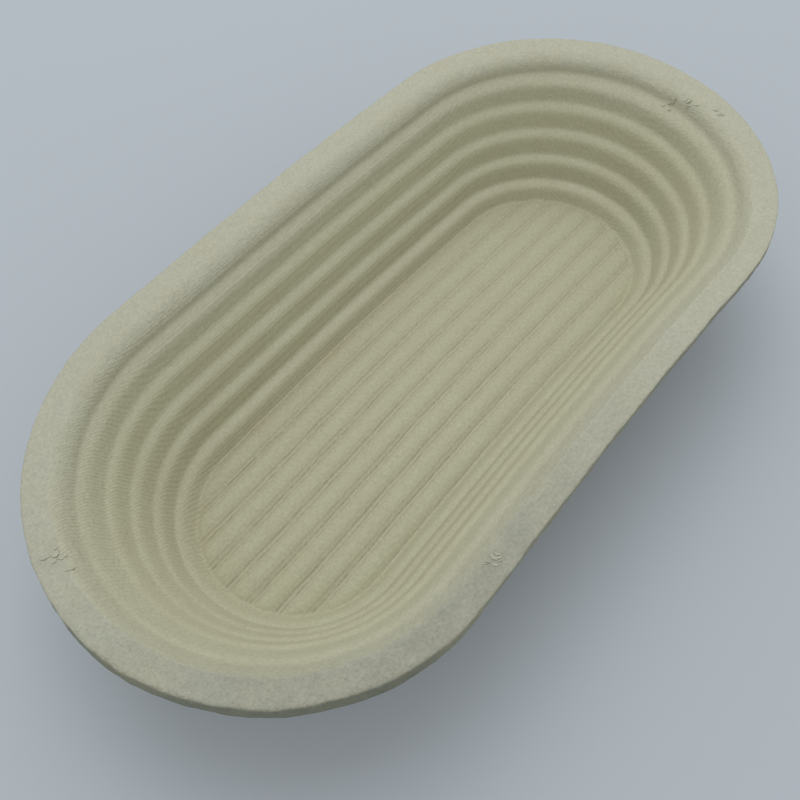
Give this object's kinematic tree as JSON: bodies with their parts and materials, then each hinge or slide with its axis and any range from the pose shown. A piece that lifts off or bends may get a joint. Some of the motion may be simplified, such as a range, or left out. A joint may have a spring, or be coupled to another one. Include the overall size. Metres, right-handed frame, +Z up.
{
  "type": "proofing basket",
  "caption": "Long moulded wood-pulp proofing basket with rounded ends, a flat rim, a ribbed inner wall and a grooved floor, for shaping bread dough while it rises.",
  "frame": {"origin": "middle of the flat underside that the basket stands on", "axes": "+X along the basket, +Y across it, +Z up out of the open mouth"},
  "size_m": [0.34, 0.175, 0.066],
  "materials": {
    "wood_pulp": "dry matt fibre, with a fine sieve imprint inside"
  },
  "bodies": {
    "root": {"basket_shell": "wood_pulp"}
  },
  "joints": []
}
